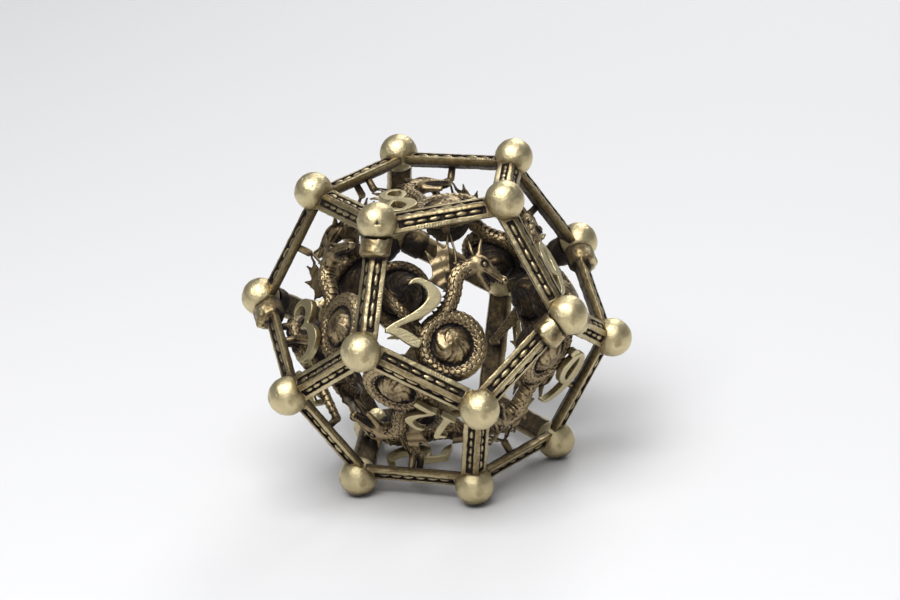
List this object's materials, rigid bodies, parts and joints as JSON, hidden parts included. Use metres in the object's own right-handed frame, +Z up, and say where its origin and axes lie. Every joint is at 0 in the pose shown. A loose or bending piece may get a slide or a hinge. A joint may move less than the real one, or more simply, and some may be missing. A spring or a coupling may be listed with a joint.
{
  "type": "polyhedral die",
  "caption": "Hollow metal gaming die in the shape of a dodecahedral cage, with ball corners, beaded struts and an openwork figure and numeral in each face.",
  "frame": {"origin": "on the ground under the middle of the die, which rests on the balls round its lowest face", "axes": "+Z up through the middle of the top face, -Y towards the side of the front face, +X to the right"},
  "size_m": [0.0252, 0.0264, 0.0219],
  "materials": {
    "ball": "satin antique brass",
    "strut": "antique brass, dark in the channels and bright on the rails",
    "figure": "dark brown patina with rubbed highlights",
    "numeral": "rubbed antique brass with fine dark specks"
  },
  "bodies": {
    "root": {"balls_bottom": "ball", "balls_lower": "ball", "balls_top": "ball", "balls_upper": "ball", "figure_1": "figure", "figure_10": "figure", "figure_11": "figure", "figure_12": "figure", "figure_2": "figure", "figure_3": "figure", "figure_4": "figure", "figure_5": "figure", "figure_6": "figure", "figure_7": "figure", "figure_8": "figure", "figure_9": "figure", "numeral_1": "numeral", "numeral_10": "numeral", "numeral_11": "numeral", "numeral_12": "numeral", "numeral_2": "numeral", "numeral_3": "numeral", "numeral_4": "numeral", "numeral_5": "numeral", "numeral_6": "numeral", "numeral_7": "numeral", "numeral_8": "numeral", "numeral_9": "numeral", "strut_belt_1": "strut", "strut_belt_10": "strut", "strut_belt_2": "strut", "strut_belt_3": "strut", "strut_belt_4": "strut", "strut_belt_5": "strut", "strut_belt_6": "strut", "strut_belt_7": "strut", "strut_belt_8": "strut", "strut_belt_9": "strut", "strut_bottom_1": "strut", "strut_bottom_2": "strut", "strut_bottom_3": "strut", "strut_bottom_4": "strut", "strut_bottom_5": "strut", "strut_lower_1": "strut", "strut_lower_2": "strut", "strut_lower_3": "strut", "strut_lower_4": "strut", "strut_lower_5": "strut", "strut_top_1": "strut", "strut_top_2": "strut", "strut_top_3": "strut", "strut_top_4": "strut", "strut_top_5": "strut", "strut_upper_1": "strut", "strut_upper_2": "strut", "strut_upper_3": "strut", "strut_upper_4": "strut", "strut_upper_5": "strut"}
  },
  "joints": []
}
